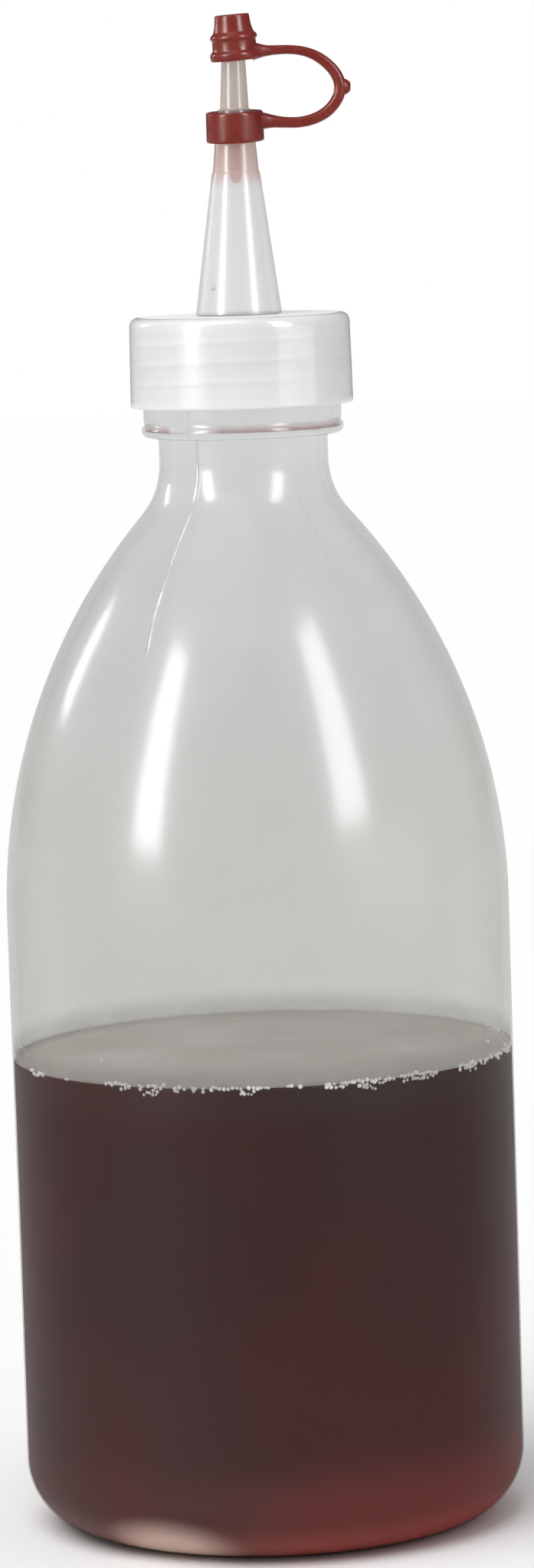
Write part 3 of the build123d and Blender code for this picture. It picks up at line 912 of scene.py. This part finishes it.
# ---- screw cap ----
def screw_cap(material, inside_material):
    """The smooth shell and its inside thread."""
    roof = CAP_TOP - CAP_ROOF
    corners = [
        (CAP_FOOT_RADIUS, CAP_BOTTOM, 0.35),
        (CAP_TOP_RADIUS, CAP_TOP, CAP_EDGE),
        (CAP_HOLE, CAP_TOP, 0.15),
        (CAP_HOLE, roof, 0.15),
        (CAP_INSIDE, roof, 0.6),
        (CAP_INSIDE, CAP_BOTTOM + 1.9, 0.2),
        (CAP_MOUTH, CAP_BOTTOM + 1.5, 0.2),
        (CAP_MOUTH, CAP_BOTTOM, 0.15),
    ]
    shell = lathe("shell", divided(rounded(corners, 0.2, 8), 1.0), material, 176)
    opposite = THREAD_TURNED + math.pi
    thread = helix_ridge("thread", CAP_INSIDE, CAP_THREAD_CREST, THREAD_START, opposite, inside_material)
    shell.data.materials.append(inside_material)
    for face in shell.data.polygons:
        middle = face.center / MM
        inner = CAP_TOP_RADIUS - CAP_EDGE if middle.z > roof + 0.5 else CAP_MOUTH + 0.05
        if math.hypot(middle.x, middle.y) < inner:
            face.material_index = 1
    cap = join("screw_cap_shell", shell, thread)
    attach(cap, "screw_cap")
    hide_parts("screw_cap")


# ---- captive tip cap ----
STRAP_MIDDLE = STRAP_LOW + STRAP_RISE / 2
STRAP_TOP = STRAP_LOW + STRAP_RISE
# the strap's centreline, from the ring round to the tip cap: x, z, half thickness, half width
STRAP_ROUTE = [
    (3.0, STRAP_LOW + 0.35, 1.5, 1.8),
    (4.5, STRAP_LOW + 0.3, 1.2, 1.6),
    (5.8, STRAP_LOW + 0.18, 0.95, 1.35),
    (7.4, STRAP_LOW, 0.82, 1.2),
    (9.6, STRAP_LOW - 0.05, 0.8, 1.15),
    (11.7, STRAP_LOW + 0.35, 0.82, 1.15),
    (13.5, STRAP_LOW + 1.2, 0.84, 1.15),
    (14.8, STRAP_LOW + 2.4, 0.86, 1.2),
    (15.6, STRAP_LOW + 3.8, 0.88, 1.2),
    (15.8, STRAP_MIDDLE - 0.05, 0.88, 1.2),
    (15.25, STRAP_LOW + 6.9, 0.86, 1.2),
    (14.1, STRAP_LOW + 8.35, 0.82, 1.15),
    (12.4, STRAP_LOW + 9.65, 0.76, 1.1),
    (10.4, STRAP_LOW + 10.45, 0.7, 1.1),
    (8.3, STRAP_TOP + 0.05, 0.68, 1.1),
    (6.2, STRAP_TOP + 0.05, 0.72, 1.15),
    (5.0, STRAP_TOP, 0.82, 1.35),
    (4.1, STRAP_TOP, 1.02, 1.55),
    (2.9, STRAP_TOP, 1.4, 1.7),
]


def between(a, b, c, d, t):
    """The Catmull-Rom value a share t of the way from b to c."""
    square = 2 * a - 5 * b + 4 * c - d
    cube = 3 * b - a - 3 * c + d
    return 0.5 * (2 * b + (c - a) * t + square * t**2 + cube * t**3)


def spline(knots, steps):
    """Catmull-Rom points through knots of any dimension."""
    ends = [tuple(2 * a - b for a, b in zip(knots[0], knots[1]))]
    ends += list(knots) + [tuple(2 * a - b for a, b in zip(knots[-1], knots[-2]))]
    points = []
    for i in range(1, len(ends) - 2):
        for k in range(steps):
            t = k / steps
            points.append(tuple(between(*near, t) for near in zip(*ends[i - 1 : i + 3])))
    return points + [tuple(knots[-1])]


def strap_section(x, z, tangent, half_thick, half_wide):
    """A rounded rectangle across the strap."""
    normal = (-tangent[1], tangent[0])
    section = []
    power = 2 / 2.8
    for k in range(36):
        a = TURN * k / 36
        u = math.copysign(abs(math.cos(a)) ** power, math.cos(a)) * half_thick
        v = math.copysign(abs(math.sin(a)) ** power, math.sin(a)) * half_wide
        section.append((x + normal[0] * u, v, z + normal[1] * u))
    return section


def strap(material):
    """The strap in three closed lengths, which meet end to end."""
    steps = 12
    line = spline(STRAP_ROUTE, steps)
    tangents = []
    for i in range(len(line)):
        a, b = line[max(0, i - 1)], line[min(len(line) - 1, i + 1)]
        length = math.hypot(b[0] - a[0], b[1] - a[1])
        tangents.append(((b[0] - a[0]) / length, (b[1] - a[1]) / length))
    cuts = [0, 4 * steps, 13 * steps + 7, len(line) - 1]
    near, far, x = 4.2, 8.8, 15.2  # where the roots' bends start and end, and where the middle bend lies
    below, above = STRAP_MIDDLE - 5.2, STRAP_MIDDLE + 5.2
    joints = [
        ("strap_root_low", "tether_ring", "tether_lower", (near, STRAP_LOW), (far, STRAP_LOW), "strap_lower"),
        ("strap_bend", "tether_lower", "tether_upper", (x, below), (x, above), None),
        ("strap_root_high", "tether_upper", "tip_cap", (far, STRAP_TOP), (near, STRAP_TOP), "strap_upper"),
    ]
    for (name, a, b, start, end, node), first, last in zip(joints, cuts, cuts[1:]):
        part = range(first, last + 1)
        sections = [strap_section(*line[i][:2], tangents[i], *line[i][2:]) for i in part]
        centres = [(line[i][0], 0, line[i][1]) for i in part]
        piece = tube(name, centres, sections, material)
        if name == "strap_bend":
            piece = join(name, piece, gate_mark(material))
        lean(piece)
        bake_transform(piece)
        if node:
            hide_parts(node)


def gate_mark(material):
    """The stub that the mould's gate leaves at the strap's outermost point."""
    z = STRAP_MIDDLE - 0.35
    profile = [(0, 0.0), (1.3, 0.0), (1.15, 0.3), (1.0, 0.6)]
    profile += [(0.78, 0.88), (0.5, 1.03), (0.25, 1.03), (0, 0.95)]
    stub = lathe("stub", profile, material, 28, False)
    for v in stub.data.vertices:
        x, y, h = v.co / MM
        v.co = Vector((STRAP_REACH + 0.85 + h, y * 0.95, z + x)) * MM
    return stub


def retaining_ring(material):
    """The ring sits a little tilted on the spout, its front and left low."""
    top, bottom, radius = RING_HIGH, RING_LOW, RING_RADIUS - 0.18
    corners = [
        (SEAT_RADIUS - 0.1, bottom, 0.1),
        (radius, bottom, 0.35),
        (radius - 0.08, top, 0.3),
        (SEAT_RADIUS - 0.1, top, 0.2),
    ]
    ring = lathe("retaining_ring_shell", divided(rounded(corners, 0.2, 6), 0.6), material, 96)
    tilt(ring, (bottom + top) / 2, forward=4.0, rightward=-1.2)
    lean(ring)
    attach(ring, "tether_ring")
    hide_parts("retaining_ring")


def tip_cap(material):
    """The blind cap on the dropper tube, with its foot flange and grip."""
    base = TIP_CAP_BOTTOM
    taper = (TIP_FOOT_RADIUS - TIP_RADIUS) / (TIP_TOP - 0.2 - SEAT_TOP - 0.3)
    mouth = TIP_RADIUS + taper * (TIP_TOP - 0.2 - base) + 0.05
    outside = [
        (mouth, base, 0.15),
        (3.65, base, 0.35),
        (3.75, base + 1.1, 0.3),
        (3.3, base + 1.5, 0.35),
        (3.25, base + 3.0, 0.3),
        (3.52, base + 3.3, 0.2),
        (3.48, base + 3.75, 0.25),
        (3.02, base + 4.15, 0.5),
        (2.72, base + 5.2, 0.8),
        (2.55, TIP_CAP_TOP - 0.08, 0.25),
        (1.9, TIP_CAP_TOP - 0.08, 0.2),
        (1.6, TIP_CAP_TOP - 0.33, 0.2),
    ]
    outer = rounded(outside, 0.2, 4)
    socket = [
        (0, TIP_TOP + 0.25),
        (TIP_RADIUS - 0.15, TIP_TOP + 0.25),
        (TIP_RADIUS + 0.05, TIP_TOP - 0.1),
    ]
    profile = socket + run(socket[-1], outer[0], 6) + outer[1:] + [(0, TIP_CAP_TOP - 0.33)]
    cap = lathe("tip_cap_shell", profile, material, 96, False)
    tilt(cap, base + 2, forward=2.0, rightward=-3.6)
    for v in cap.data.vertices:
        v.co.x += TIP_CAP_OFFSET * MM
    lean(cap)
    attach(cap, "tip_cap")
    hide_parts("tip_cap")


# ---- stage, lights and camera ----
FLOOR_RADIUS = 3500

# each area light: name, azimuth in degrees, distance, bottom, top and width in mm, radiance
SOFTBOXES = [
    ("softbox_left", -51, 700, 198, 790, 165, 60),
    ("softbox_right", 46, 700, 248, 930, 200, 44),
    ("softbox_back_left", -121.5, 700, 290, 490, 90, 34),
    ("card_left", -51, 720, 40, 190, 400, 1.75),
    ("card_right", 61, 720, 40, 235, 560, 2.35),
]
SUN_STRENGTH = 1.85
SUN_SPREAD = math.radians(50)
SUN_DIRECTION = (0.35, 0.45, -1)
WORLD_DIFFUSE, WORLD_GLOSSY, WORLD_CAMERA = 0.55, 0.11, 1.0

CAMERA_PLACE = (0, -0.895, 0.2119)
CAMERA_LENS = 136.8
CAMERA_SHIFT = 0.0081
CAMERA_TIPPED = 6.35
CAMERA_ROLLED = -1.85


def floor():
    """A plain pale floor."""
    n = Nodes("pale_paper")
    tone = n.ramp(n.noise(3, 2), [(0.3, 0.925), (0.7, 0.935)])
    paper = n.principled(tone, 0.95, 0.0)
    points, faces = [(0, 0, 0)], []
    rings, segments = 6, 64
    angles = [TURN * k / segments for k in range(segments)]
    for ring in range(1, rings + 1):
        radius = FLOOR_RADIUS * (ring / rings) ** 2
        points += [polar(radius, a, 0) for a in angles]
    for k in range(segments):
        j = (k + 1) % segments
        faces.append([0, 1 + k, 1 + j])
        for ring in range(1, rings):
            a, b = 1 + (ring - 1) * segments, 1 + ring * segments
            faces.append([a + k, b + k, b + j, a + j])
    make_object("floor", points, faces, n.shade(paper))


def softbox(name, azimuth, distance, bottom, top, width, radiance):
    """An upright area light that faces the bottle's axis and shows in its gloss. Azimuth 0 is in front."""
    data = bpy.data.lights.new(name, "AREA")
    data.shape = "RECTANGLE"
    data.size = width * MM
    data.size_y = (top - bottom) * MM
    data.energy = radiance * math.pi * data.size * data.size_y
    light = bpy.data.objects.new(name, data)
    bpy.context.scene.collection.objects.link(light)
    a = math.radians(azimuth)
    light.location = Vector((math.sin(a) * distance, -math.cos(a) * distance, (bottom + top) / 2)) * MM
    aim = Vector((-math.sin(a), math.cos(a), 0))
    light.rotation_euler = aim.to_track_quat("-Z", "Y").to_euler()
    light.visible_camera = False
    light.visible_transmission = False
    light.visible_diffuse = False


def lights():
    """Softboxes that show in the gloss, a broad overhead sun, and a plain white surround."""
    for box in SOFTBOXES:
        softbox(*box)
    sun = bpy.data.lights.new("overhead", "SUN")
    sun.energy = SUN_STRENGTH
    sun.angle = SUN_SPREAD
    light = bpy.data.objects.new("overhead", sun)
    bpy.context.scene.collection.objects.link(light)
    light.rotation_euler = Vector(SUN_DIRECTION).to_track_quat("-Z", "Y").to_euler()
    world = bpy.data.worlds.new("studio")
    bpy.context.scene.world = world
    world.use_nodes = True
    tree = world.node_tree
    tree.nodes.clear()
    out = tree.nodes.new("ShaderNodeOutputWorld")
    path = tree.nodes.new("ShaderNodeLightPath")
    skies = []
    for strength in (WORLD_DIFFUSE, WORLD_GLOSSY, WORLD_CAMERA):
        sky = tree.nodes.new("ShaderNodeBackground")
        sky.inputs["Color"].default_value = (1, 1, 1, 1)
        sky.inputs["Strength"].default_value = strength
        skies.append(sky.outputs[0])
    for ray, sky in (("Is Glossy Ray", skies[1]), ("Is Camera Ray", skies[2])):
        mix = tree.nodes.new("ShaderNodeMixShader")
        tree.links.new(path.outputs[ray], mix.inputs[0])
        tree.links.new(skies[0], mix.inputs[1])
        tree.links.new(sky, mix.inputs[2])
        skies[0] = mix.outputs[0]
    tree.links.new(skies[0], out.inputs["Surface"])


def camera():
    """A long lens in front of the bottle, as high as the strap, tipped down and rolled a little."""
    data = bpy.data.cameras.new("camera")
    data.sensor_width = 36
    data.lens = CAMERA_LENS
    data.shift_x = CAMERA_SHIFT
    data.clip_start, data.clip_end = 0.05, 20
    cam = bpy.data.objects.new("camera", data)
    bpy.context.scene.collection.objects.link(cam)
    cam.location = CAMERA_PLACE
    tipped = Euler((math.radians(90 - CAMERA_TIPPED), 0, 0)).to_quaternion()
    rolled = Quaternion((0, 0, 1), math.radians(CAMERA_ROLLED))
    cam.rotation_mode = "QUATERNION"
    cam.rotation_quaternion = tipped @ rolled
    bpy.context.scene.camera = cam


# ---- the whole object ----
def build():
    """Makes the materials, then every piece. A wall's tints run between its two heights."""
    bottle_tints = [
        (0.0, (0.882, 0.885, 0.868)),
        (0.45, (0.896, 0.899, 0.886)),
        (0.72, (0.910, 0.914, 0.911)),
        (1.0, (0.953, 0.958, 0.962)),
    ]
    wall = translucent_wall(
        "bottle_polyethylene",
        bottle_tints,
        heights=(72, 165),
        solid=0.28,
        milk=(0.018, 0.018, 0.017),
        coat=1.0,
        coat_roughness=0.17,
        seamed=True,
    )
    inside = clear_inside("bottle_inside", (0.995, 0.995, 0.995))
    spout_tints = [
        (0.0, (0.93, 0.93, 0.935)),
        (0.60, (0.90, 0.90, 0.915)),
        (0.70, (0.79, 0.67, 0.64)),
        (0.78, (0.76, 0.64, 0.60)),
        (1.0, (0.72, 0.655, 0.61)),
    ]
    spout_wall = translucent_wall(
        "spout_polyethylene",
        spout_tints,
        heights=(183, 214),
        solid=0.5,
        milk=(0.72, 0.72, 0.72),
        coat=0.6,
        coat_roughness=0.22,
    )
    spout_inside = clear_inside("spout_inside", (0.99, 0.99, 0.99))
    neck_residue = ledge_residue()
    spout_residue = red_residue("residue_in_spout", (0.93, 0.80, 0.77), (0.46, 0.26, 0.22), 0.14)
    red = red_plastic()
    bottle_body(wall, inside)
    base_weld(wall)
    liquid(dark_liquid(), liquid_surface())
    film_on_wall(wet_film())
    froth(bubble_film())
    bead_residue("bead_residue_right_film", -118, 16, neck_residue)
    bead_residue("bead_residue_left_film", -188, -136, neck_residue)
    spout(spout_wall, spout_inside, spout_residue)
    screw_cap(milky_cap("cap_milky_plastic", 1.0), milky_cap("cap_milky_inside", 0.0))
    retaining_ring(red)
    strap(red)
    tip_cap(red)


build()
floor()
lights()
camera()
bpy.context.scene.view_settings.view_transform = "Standard"
bpy.context.scene.cycles.transparent_max_bounces = 32
bpy.context.scene.cycles.max_bounces = 12
bpy.context.scene.cycles.use_denoising = True
bpy.context.scene.cycles.denoising_input_passes = "RGB_ALBEDO"
